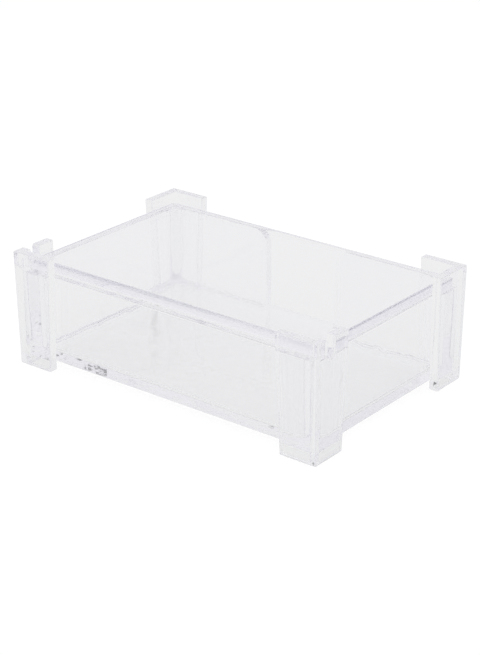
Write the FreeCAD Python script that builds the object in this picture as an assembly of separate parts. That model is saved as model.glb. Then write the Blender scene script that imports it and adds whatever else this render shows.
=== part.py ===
import FreeCAD, Part
import os

# Clear plastic business card box: a drafted tray, four corner posts bonded round its corners,
# and a lid that swings up on two pins. Millimetres, +Z up. The origin is on the table, under the
# middle of the box. The hinge is along the -Y side and the finger opening is in the +Y wall.

# Overall size, measured over the posts where the feet stand on the table
length = 104.0
width = 68.0
height = 34.0
# How far each outer face leans outwards between the feet and the tops of the posts
draft = 0.45

# Corner posts, angle-shaped in plan
post_thickness = 2.8
foot_reach = 11.5
tab_reach = 13.0
foot_height = 2.6
tab_height = 2.8
# Film of clear adhesive between the inner faces of a post and the tray
bond_film = 0.05

# Tray, whose walls are this thick at the floor and a little thicker at the rim
wall_thickness = 2.0
floor_thickness = 2.2
cavity_corner_radius = 5.0
cavity_floor_radius = 1.6
rim_radius = 0.35

# Finger opening in the wall away from the hinge
opening_width = 25.0
opening_top_radius = 4.5

# Lid and its hinge
lid_thickness = 2.9
lid_side_gap = 0.4
lid_back_gap = 1.0
lid_rest_gap = 0.05
lid_corner_radius = 1.5
lid_edge_radius = 0.7
hinge_inset = 5.5
pin_diameter = 2.7
pin_gap = 0.1
pin_end_inset = 0.4
pin_edge_radius = 0.3

# Edges of the posts
post_edge_radius = 0.4
slot_mouth_radius = 0.9

# How far a cutting block runs past the face that it cuts
overrun = 5.0

lid_top = height - tab_height
lid_bottom = lid_top - lid_thickness
wall_top = lid_bottom - lid_rest_gap
tray_inset = post_thickness + bond_film
cavity_inset = tray_inset + wall_thickness
floor_top = foot_height + floor_thickness
hinge_y = hinge_inset - width / 2
hinge_z = lid_top - lid_thickness / 2
slot_radius = pin_diameter / 2 + pin_gap


def lean(z):
    """Outward lean of every drafted outer face at a height."""
    return draft * z / height


def half_x(inset, z):
    return length / 2 + lean(z) - inset


def half_y(inset, z):
    return width / 2 + lean(z) - inset


def box(x0, x1, y0, y1, z0, z1):
    return Part.makeBox(x1 - x0, y1 - y0, z1 - z0, FreeCAD.Vector(x0, y0, z0))


def drafted_solid(outline, z0, z1):
    """Solid with plane sides between an anticlockwise outline at z0 and the one at z1."""
    low = [FreeCAD.Vector(x, y, z0) for x, y in outline(z0)]
    high = [FreeCAD.Vector(x, y, z1) for x, y in outline(z1)]
    rings = [low[::-1], high]
    for i in range(len(low)):
        j = (i + 1) % len(low)
        rings.append([low[i], low[j], high[j], high[i]])
    faces = [Part.Face(Part.makePolygon(ring + ring[:1])) for ring in rings]
    return Part.Solid(Part.Shell(faces))


def drafted_block(inset, z0, z1):
    """Block whose four sides follow the drafted outer faces at a constant inset."""
    def rectangle(z):
        hx, hy = half_x(inset, z), half_y(inset, z)
        return [(-hx, -hy), (hx, -hy), (hx, hy), (-hx, hy)]

    return drafted_solid(rectangle, z0, z1)


def edges_where(shape, test):
    return [edge for edge in shape.Edges if test(edge.BoundBox)]


def cavity():
    """Card space with upright walls, rounded corners and a small radius round its floor."""
    hx, hy = half_x(cavity_inset, floor_top), half_y(cavity_inset, floor_top)
    space = box(-hx, hx, -hy, hy, floor_top, wall_top + overrun)
    upright = edges_where(space, lambda b: b.ZLength > floor_thickness)
    space = space.makeFillet(cavity_corner_radius, upright)
    around_floor = edges_where(space, lambda b: b.ZMax < floor_top + cavity_floor_radius / 2)
    return space.makeFillet(cavity_floor_radius, around_floor)


def finger_opening():
    """Cutter for the opening: its sides flare out in a rounded shoulder at the rim."""
    y0 = half_y(cavity_inset, floor_top) - overrun
    y1 = half_y(0, wall_top) + overrun
    half = opening_width / 2
    slot = box(-half, half, y0, y1, floor_top, wall_top + overrun)
    radius = opening_top_radius
    for side in (-1, 1):
        x_edge = side * half
        x_far = side * (half + radius)
        shoulder = box(min(x_edge, x_far), max(x_edge, x_far), y0, y1,
                       wall_top - radius, wall_top + overrun)
        centre = FreeCAD.Vector(x_far, y0, wall_top - radius)
        corner = Part.makeCylinder(radius, y1 - y0, centre, FreeCAD.Vector(0, 1, 0))
        slot = slot.fuse(shoulder.cut(corner))
    return slot.removeSplitter()


def tray():
    body = drafted_block(tray_inset, foot_height, wall_top).cut(cavity())
    rim = edges_where(body, lambda b: b.ZLength < 0.01 and b.ZMin > wall_top - 0.01)
    base = edges_where(body, lambda b: b.ZLength < 0.01 and b.ZMax < foot_height + 0.01)
    return body.makeFillet(rim_radius, rim + base).cut(finger_opening())


def angle_section(z):
    """Angle section of a post in the corner at -X -Y."""
    reach = foot_reach + (tab_reach - foot_reach) * z / height
    x0, y0 = -half_x(0, z), -half_y(0, z)
    x1, y1 = -half_x(post_thickness, z), -half_y(post_thickness, z)
    x_end = -length / 2 + reach
    y_end = -width / 2 + reach
    return [(x0, y0), (x_end, y0), (x_end, y1), (x1, y1), (x1, y_end), (x0, y_end)]


def hinge_slot():
    """Open-topped slot across the leg that runs along Y, with a round seat for a pin."""
    x0 = -half_x(0, height) - overrun
    x1 = -half_x(post_thickness, 0) + overrun / 2
    centre = FreeCAD.Vector(x0, hinge_y, hinge_z)
    seat = Part.makeCylinder(slot_radius, x1 - x0, centre, FreeCAD.Vector(1, 0, 0))
    mouth = box(x0, x1, hinge_y - slot_radius, hinge_y + slot_radius, hinge_z, height + overrun)
    return seat.fuse(mouth).removeSplitter()


def post(slotted):
    """Angle-shaped post whose foot reaches below the tray and whose tab stands above the lid."""
    shape = drafted_solid(angle_section, 0, height)
    if slotted:
        shape = shape.cut(hinge_slot())
        y0, y1 = hinge_y - slot_radius, hinge_y + slot_radius
        mouth = edges_where(shape, lambda b: b.ZMin > height - 0.01 and b.XLength > b.YLength
                            and b.YMin > y0 - 0.01 and b.YMax < y1 + 0.01)
        shape = shape.makeFillet(slot_mouth_radius, mouth)
    inner_x = -half_x(post_thickness, height)
    inner_y = -half_y(post_thickness, height)

    def is_outer(b):
        """Every edge but the inner corner, which lies against the corner of the tray."""
        in_corner = b.XMin > inner_x - 0.01 and b.XMax < inner_x + draft + 0.01
        return not (b.ZLength > tab_height and in_corner and b.YMax < inner_y + draft + 0.01)

    return shape.makeFillet(post_edge_radius, edges_where(shape, is_outer))


def mirrored(shape, across_x, across_y):
    origin = FreeCAD.Vector(0, 0, 0)
    if across_x:
        shape = shape.mirror(origin, FreeCAD.Vector(1, 0, 0))
    if across_y:
        shape = shape.mirror(origin, FreeCAD.Vector(0, 1, 0))
    return shape


def pin(side):
    """Round pin that stands out from the side edge of the lid into a slot."""
    x_in = half_x(post_thickness, lid_top) - lid_side_gap - lid_edge_radius
    x_out = half_x(0, hinge_z) - pin_end_inset
    start = FreeCAD.Vector(x_in, hinge_y, hinge_z)
    shape = Part.makeCylinder(pin_diameter / 2, x_out - x_in, start, FreeCAD.Vector(1, 0, 0))
    rim = edges_where(shape, lambda b: b.XMin > x_out - 0.01)
    shape = shape.makeFillet(pin_edge_radius, rim)
    return mirrored(shape, side < 0, False)


def lid():
    """Flat lid plate whose hinge edge is a half round about the axis of its two end pins."""
    hx = half_x(post_thickness, lid_top) - lid_side_gap
    y_back = half_y(post_thickness, lid_top) - lid_back_gap
    top_hinge = FreeCAD.Vector(-hx, hinge_y, lid_top)
    top_back = FreeCAD.Vector(-hx, y_back, lid_top)
    low_back = FreeCAD.Vector(-hx, y_back, lid_bottom)
    low_hinge = FreeCAD.Vector(-hx, hinge_y, lid_bottom)
    foremost = FreeCAD.Vector(-hx, hinge_y - lid_thickness / 2, hinge_z)
    outline = [Part.makePolygon([top_hinge, top_back, low_back, low_hinge]),
               Part.Arc(low_hinge, foremost, top_hinge).toShape()]
    profile = Part.Face(Part.Wire([edge for run in outline for edge in run.Edges]))
    plate = profile.extrude(FreeCAD.Vector(2 * hx, 0, 0))

    def is_upright(b):
        return b.XLength < 0.01 and b.YLength < 0.01

    def is_rounded(b):
        """Every edge but the corner seams and the lines where the half round starts."""
        along_hinge = b.XLength > lid_thickness and b.YMax < hinge_y + 0.01
        return not (is_upright(b) or along_hinge)

    plate = plate.makeFillet(lid_corner_radius, edges_where(plate, is_upright))
    plate = plate.makeFillet(lid_edge_radius, edges_where(plate, is_rounded))
    for side in (-1, 1):
        plate = plate.fuse(pin(side))
    return plate.removeSplitter()


parts = {
    "card_tray": tray(),
    "corner_post_front_left": post(True),
    "corner_post_front_right": mirrored(post(True), True, False),
    "corner_post_back_left": mirrored(post(False), False, True),
    "corner_post_back_right": mirrored(post(False), True, True),
    "lid": lid(),
}

os.makedirs("parts", exist_ok=True)
for name, shape in parts.items():
    solid = shape.Solids[0] if len(shape.Solids) == 1 else shape
    print(name, len(shape.Solids), shape.isValid(), round(shape.Volume, 1))
    solid.exportStep("parts/" + name + ".step")
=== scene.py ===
"""Clear business card box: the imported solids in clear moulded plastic, on a pale table."""
import bpy
from mathutils import Matrix, Vector

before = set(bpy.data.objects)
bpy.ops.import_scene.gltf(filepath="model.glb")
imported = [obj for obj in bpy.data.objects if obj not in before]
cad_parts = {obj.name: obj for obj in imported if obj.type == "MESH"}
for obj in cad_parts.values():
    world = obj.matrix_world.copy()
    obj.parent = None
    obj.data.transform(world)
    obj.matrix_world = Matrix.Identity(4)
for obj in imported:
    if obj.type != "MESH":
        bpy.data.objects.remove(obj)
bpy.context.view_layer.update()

# Camera, from the photograph's viewing angle
CAMERA_PLACE = (0.285440, -0.356989, 0.210167)
CAMERA_RIGHT = (0.782509, 0.622634, -0.002626)
CAMERA_UP = (-0.244635, 0.311323, 0.918277)
CAMERA_LENS_MM = 97.950
SENSOR_HEIGHT_MM = 36.0

# Clear plastic, which refracts as polystyrene does. In a metre it absorbs ABSORPTION times what
# its tint lacks to white.
PLASTIC_IOR = 1.59
PLASTIC_COLOUR = (0.995, 0.995, 1.0, 1.0)
ABSORPTION = 5.0
BOX_TINT = (0.953, 0.945, 0.99, 1.0)
LID_TINT = (0.949, 0.94, 1.0, 1.0)

# Scratches, and the roughness of one at full amount
SCRATCH_SCALE = 60.0
SCRATCH_ROUGHNESS = 0.25
# Each run of them: its turns about X, Y and Z in radians, and how many times longer than wide
SCRATCH_RUNS = (((0.12, 0.2, 0.3), 30.0), ((0.52, 0.2, 1.3), 42.0), ((0.88, 0.2, 2.2), 36.0))
# Noise at which a scratch begins, and noise at which it is full
SCRATCH_BEGINS = 0.66
SCRATCH_FULL = 0.74

# Pale matt table, just under the feet
TABLE_HALF = 6.0
TABLE_Z = -0.0001
TABLE_GREY = 0.86
# Its glow and the glow's share of what shows, in the camera's view and through the plastic
TABLE_GLOW = 0.88
TABLE_GLOW_IN_VIEW = 1.06
GLOW_SHARE_IN_VIEW = 0.9
GLOW_SHARE_THROUGH_PLASTIC = 0.92

# Colour of the studio at the horizon and overhead, and its level at heights from 0 to 1 between
STUDIO_LOW = (0.88, 0.88, 0.9, 1)
STUDIO_TOP = (0.86, 0.86, 0.88, 1)
STUDIO_LEVELS = ((0.35, 0.87), (0.45, 0.85), (0.7, 0.85), (0.8, 0.87))
STUDIO_BLUE = 1.02

# Two small dark screens: one to the right behind the box, and one opposite, in front to the left.
# A unit direction meets one where it reaches this far along a level axis and this far upwards.
SCREEN_AXIS = (-0.706, 0.708, 0.0)
UPWARDS = (0.0, 0.0, 1.0)
SCREEN_SPANS = ((SCREEN_AXIS, -0.01, 0.24), (UPWARDS, 0.39, 0.472))
SCREEN_BLUR = 0.01
SCREEN_LEVEL = 0.28

# Softbox overhead
SOFTBOX_PLACE = (0.1, 0.1, 0.95)
SOFTBOX_SIZE = 0.6
SOFTBOX_WATTS = 0.4

FLOAT = "NodeSocketFloat"


def make_camera():
    right, up = Vector(CAMERA_RIGHT), Vector(CAMERA_UP)
    back = right.cross(up)
    turn = Matrix((right, up, back)).transposed()
    data = bpy.data.cameras.new("camera")
    data.sensor_fit = "VERTICAL"
    data.sensor_height = SENSOR_HEIGHT_MM
    data.lens = CAMERA_LENS_MM
    data.clip_start = 0.01
    data.clip_end = 20.0
    camera = bpy.data.objects.new("camera", data)
    camera.matrix_world = Matrix.Translation(CAMERA_PLACE) @ turn.to_4x4()
    bpy.context.scene.collection.objects.link(camera)
    bpy.context.scene.camera = camera


def new_material(name):
    material = bpy.data.materials.new(name)
    material.use_nodes = True
    material.node_tree.nodes.clear()
    return material, material.node_tree


def add(tree, kind, inputs=(), **settings):
    """Adds a node with its settings, and puts a value or a link on each input that is given."""
    node = tree.nodes.new(kind)
    for key, value in settings.items():
        setattr(node, key, value)
    for key, value in dict(inputs).items():
        if isinstance(value, bpy.types.NodeSocket):
            tree.links.new(value, node.inputs[key])
        else:
            node.inputs[key].default_value = value
    return node


def combined(tree, operation, total, value):
    """Puts a value onto a running total with a maths node, or starts the total with it."""
    if total is None:
        return value
    return add(tree, "ShaderNodeMath", {0: total, 1: value}, operation=operation).outputs[0]


def new_group(name, inputs, outputs):
    group = bpy.data.node_groups.new(name, "ShaderNodeTree")
    for label, kind, value in inputs:
        socket = group.interface.new_socket(label, in_out="INPUT", socket_type=kind)
        socket.default_value = value
    for label, kind in outputs:
        group.interface.new_socket(label, in_out="OUTPUT", socket_type=kind)
    return group, group.nodes.new("NodeGroupInput"), group.nodes.new("NodeGroupOutput")


def hairline_scratches():
    """Fine scratches of handling, in a few directions, as a mask from 0 to 1."""
    group, given, out = new_group(
        "hairline_scratches",
        [("Scale", FLOAT, 40.0), ("Amount", FLOAT, 0.2)],
        [("Mask", FLOAT)])
    place = add(group, "ShaderNodeTexCoord").outputs["Object"]
    total = None
    for turn, stretch in SCRATCH_RUNS:
        turned = add(group, "ShaderNodeMapping", {
            "Vector": place, "Rotation": turn, "Scale": (1.0, 1.0 / stretch, 1.0)},
            vector_type="TEXTURE")
        lines = add(group, "ShaderNodeTexNoise", {
            "Vector": turned.outputs["Vector"], "Scale": given.outputs["Scale"],
            "Detail": 2.0, "Roughness": 0.4})
        thin = add(group, "ShaderNodeMapRange", {
            "Value": lines.outputs["Fac"], "From Min": SCRATCH_BEGINS, "From Max": SCRATCH_FULL})
        total = combined(group, "MAXIMUM", total, thin.outputs["Result"])
    scaled = combined(group, "MULTIPLY", total, given.outputs["Amount"])
    group.links.new(scaled, out.inputs["Mask"])
    return group


def mould_flow():
    """Slow waviness of a moulded face, as a height."""
    group, given, out = new_group(
        "mould_flow", [("Scale", FLOAT, 30.0)], [("Height", FLOAT)])
    place = add(group, "ShaderNodeTexCoord").outputs["Object"]
    waves = add(group, "ShaderNodeTexNoise", {
        "Vector": place, "Scale": given.outputs["Scale"], "Detail": 1.0, "Roughness": 0.3})
    group.links.new(waves.outputs["Fac"], out.inputs["Height"])
    return group


SCRATCHES = hairline_scratches()
FLOW = mould_flow()


def clear_plastic(name, tint, haze, scratch_amount, flow_scale, flow_depth):
    """Clear plastic with scratches, a little haze and waves that are flow_depth metres high."""
    material, tree = new_material(name)
    scratches = add(tree, "ShaderNodeGroup", node_tree=SCRATCHES)
    scratches.inputs["Scale"].default_value = SCRATCH_SCALE
    scratches.inputs["Amount"].default_value = scratch_amount
    flow = add(tree, "ShaderNodeGroup", node_tree=FLOW)
    flow.inputs["Scale"].default_value = flow_scale
    rough = add(tree, "ShaderNodeMapRange", {
        "Value": scratches.outputs["Mask"], "To Min": haze, "To Max": SCRATCH_ROUGHNESS})
    bump = add(tree, "ShaderNodeBump", {
        "Height": flow.outputs["Height"], "Strength": 1.0, "Distance": flow_depth})
    surface = add(tree, "ShaderNodeBsdfPrincipled", {
        "Base Color": PLASTIC_COLOUR, "Metallic": 0.0, "IOR": PLASTIC_IOR,
        "Roughness": rough.outputs["Result"], "Transmission Weight": 1.0,
        "Normal": bump.outputs["Normal"]})
    inside = add(tree, "ShaderNodeVolumeAbsorption", {"Color": tint, "Density": ABSORPTION})
    output = add(tree, "ShaderNodeOutputMaterial")
    tree.links.new(surface.outputs["BSDF"], output.inputs["Surface"])
    tree.links.new(inside.outputs["Volume"], output.inputs["Volume"])
    return material


def tray_plastic():
    """The waviest, which breaks up the bright line along the edge of the floor."""
    return clear_plastic("clear_tray_plastic", BOX_TINT, haze=0.03, scratch_amount=0.12,
                         flow_scale=130.0, flow_depth=0.00015)


def post_plastic():
    """As the tray's, with lower waves."""
    return clear_plastic("clear_post_plastic", BOX_TINT, haze=0.03, scratch_amount=0.12,
                         flow_scale=130.0, flow_depth=0.0001)


def lid_plastic():
    """Flatter than the rest, a little hazier and more scratched."""
    return clear_plastic("clear_lid_plastic", LID_TINT, haze=0.035, scratch_amount=0.18,
                         flow_scale=45.0, flow_depth=0.00001)


def dress_solids():
    tray, post, lid = tray_plastic(), post_plastic(), lid_plastic()
    for node, material in (
            ("card_tray", tray),
            ("corner_post_front_left", post),
            ("corner_post_front_right", post),
            ("corner_post_back_left", post),
            ("corner_post_back_right", post),
            ("lid", lid)):
        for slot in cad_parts[node].material_slots:
            slot.material = material


def make_table():
    """Pale table, white to the camera, which keeps the box's soft shadow."""
    material, tree = new_material("pale_table")
    path = add(tree, "ShaderNodeLightPath")
    matt = add(tree, "ShaderNodeBsdfDiffuse", {"Color": (TABLE_GREY, TABLE_GREY, TABLE_GREY, 1.0)})
    strength = add(tree, "ShaderNodeMapRange", {
        "Value": path.outputs["Is Camera Ray"], "To Min": TABLE_GLOW,
        "To Max": TABLE_GLOW_IN_VIEW})
    glow = add(tree, "ShaderNodeEmission", {
        "Color": (1.0, 1.0, 1.0, 1.0), "Strength": strength.outputs["Result"]})
    in_view = combined(tree, "MULTIPLY", path.outputs["Is Camera Ray"], GLOW_SHARE_IN_VIEW)
    through = combined(tree, "MULTIPLY", path.outputs["Is Transmission Ray"],
                       GLOW_SHARE_THROUGH_PLASTIC)
    mix = add(tree, "ShaderNodeMixShader", {
        0: combined(tree, "MAXIMUM", in_view, through), 1: matt.outputs[0], 2: glow.outputs[0]})
    output = add(tree, "ShaderNodeOutputMaterial")
    tree.links.new(mix.outputs[0], output.inputs["Surface"])
    mesh = bpy.data.meshes.new("table")
    ring = ((-1, -1), (1, -1), (1, 1), (-1, 1))
    mesh.from_pydata([(x * TABLE_HALF, y * TABLE_HALF, TABLE_Z) for x, y in ring],
                     [], [(0, 1, 2, 3)])
    mesh.materials.append(material)
    table = bpy.data.objects.new("table", mesh)
    bpy.context.scene.collection.objects.link(table)


def dark_screens(tree, direction):
    """Mask of the small dark screens, which show inside the edges of the clear plates."""
    total = None
    for axis, low, high in SCREEN_SPANS:
        along = add(tree, "ShaderNodeVectorMath", {0: direction, 1: axis}, operation="DOT_PRODUCT")
        for edge, soft in ((low, SCREEN_BLUR), (high, -SCREEN_BLUR)):
            side = add(tree, "ShaderNodeMapRange", {
                "Value": along.outputs["Value"], "From Min": edge, "From Max": edge + soft},
                interpolation_type="SMOOTHSTEP")
            total = combined(tree, "MULTIPLY", total, side.outputs["Result"])
    return total


def make_studio():
    """Room that is evenly bright but for the screens, and plain white to the camera."""
    world = bpy.data.worlds.new("studio")
    bpy.context.scene.world = world
    world.use_nodes = True
    tree = world.node_tree
    tree.nodes.clear()
    path = add(tree, "ShaderNodeLightPath")
    place = add(tree, "ShaderNodeTexCoord").outputs["Generated"]
    parts = add(tree, "ShaderNodeSeparateXYZ", {0: place})
    ramp = add(tree, "ShaderNodeValToRGB", {0: parts.outputs["Z"]})
    ramp.color_ramp.elements[0].position = 0.0
    ramp.color_ramp.elements[0].color = STUDIO_LOW
    ramp.color_ramp.elements[1].position = 1.0
    ramp.color_ramp.elements[1].color = STUDIO_TOP
    for position, value in STUDIO_LEVELS:
        element = ramp.color_ramp.elements.new(position)
        element.color = (value, value, value * STUDIO_BLUE, 1)
    level = add(tree, "ShaderNodeMapRange", {
        "Value": dark_screens(tree, place), "To Min": 1.0, "To Max": SCREEN_LEVEL})
    room = add(tree, "ShaderNodeBackground", {
        "Color": ramp.outputs["Color"], "Strength": level.outputs["Result"]})
    white = add(tree, "ShaderNodeBackground", {"Color": (1, 1, 1, 1), "Strength": 1.0})
    mix = add(tree, "ShaderNodeMixShader", {
        0: path.outputs["Is Camera Ray"], 1: room.outputs[0], 2: white.outputs[0]})
    output = add(tree, "ShaderNodeOutputWorld")
    tree.links.new(mix.outputs[0], output.inputs["Surface"])


def make_softbox():
    lamp = bpy.data.lights.new("softbox", "AREA")
    lamp.shape = "RECTANGLE"
    lamp.size = SOFTBOX_SIZE
    lamp.size_y = SOFTBOX_SIZE
    lamp.energy = SOFTBOX_WATTS
    box = bpy.data.objects.new("softbox", lamp)
    box.location = SOFTBOX_PLACE
    box.rotation_mode = "QUATERNION"
    box.rotation_quaternion = Vector(SOFTBOX_PLACE).to_track_quat("Z", "Y")
    bpy.context.scene.collection.objects.link(box)


make_camera()
dress_solids()
make_table()
make_studio()
make_softbox()
bpy.context.scene.view_settings.view_transform = "Standard"
# Light runs a long way inside clear plates before it comes out at an edge
bpy.context.scene.cycles.max_bounces = 128
bpy.context.scene.cycles.glossy_bounces = 100
bpy.context.scene.cycles.transmission_bounces = 100
